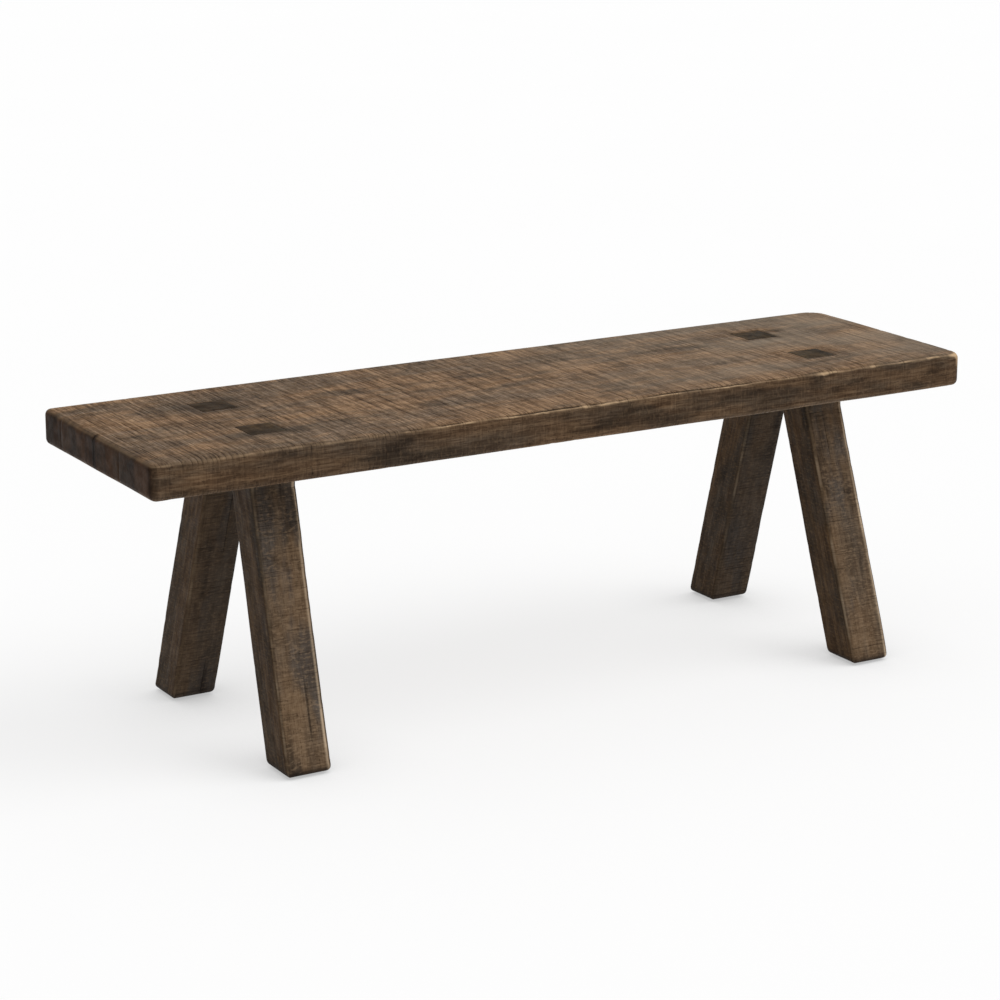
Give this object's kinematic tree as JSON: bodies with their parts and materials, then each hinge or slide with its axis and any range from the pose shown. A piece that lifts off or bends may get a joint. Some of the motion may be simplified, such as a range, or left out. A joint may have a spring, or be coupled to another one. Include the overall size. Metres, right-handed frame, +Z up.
{
  "type": "backless bench",
  "caption": "Backless bench in dark reclaimed timber: thick plank seat and splayed square legs whose through tenons show in the seat top.",
  "frame": {"origin": "on the floor, under the middle of the seat", "axes": "+X along the seat, +Y from the front to the back, +Z up"},
  "size_m": [1.35, 0.4482, 0.46],
  "materials": {
    "seat_timber": "dark stained, weathered, sawn across the grain, matt to satin",
    "leg_timber": "dark stained, weathered, sawn, matt to satin",
    "dowel_wood": "plain turned hardwood",
    "glide_nylon": "matt, dark brown",
    "nail_steel": "bright drawn wire"
  },
  "bodies": {
    "root": {"seat_front_plank": "seat_timber", "seat_back_plank": "seat_timber", "leg_front_left": "leg_timber", "leg_front_right": "leg_timber", "leg_back_left": "leg_timber", "leg_back_right": "leg_timber", "seam_dowels": "dowel_wood", "foot_glides": "glide_nylon", "glide_nails": "nail_steel"}
  },
  "joints": []
}
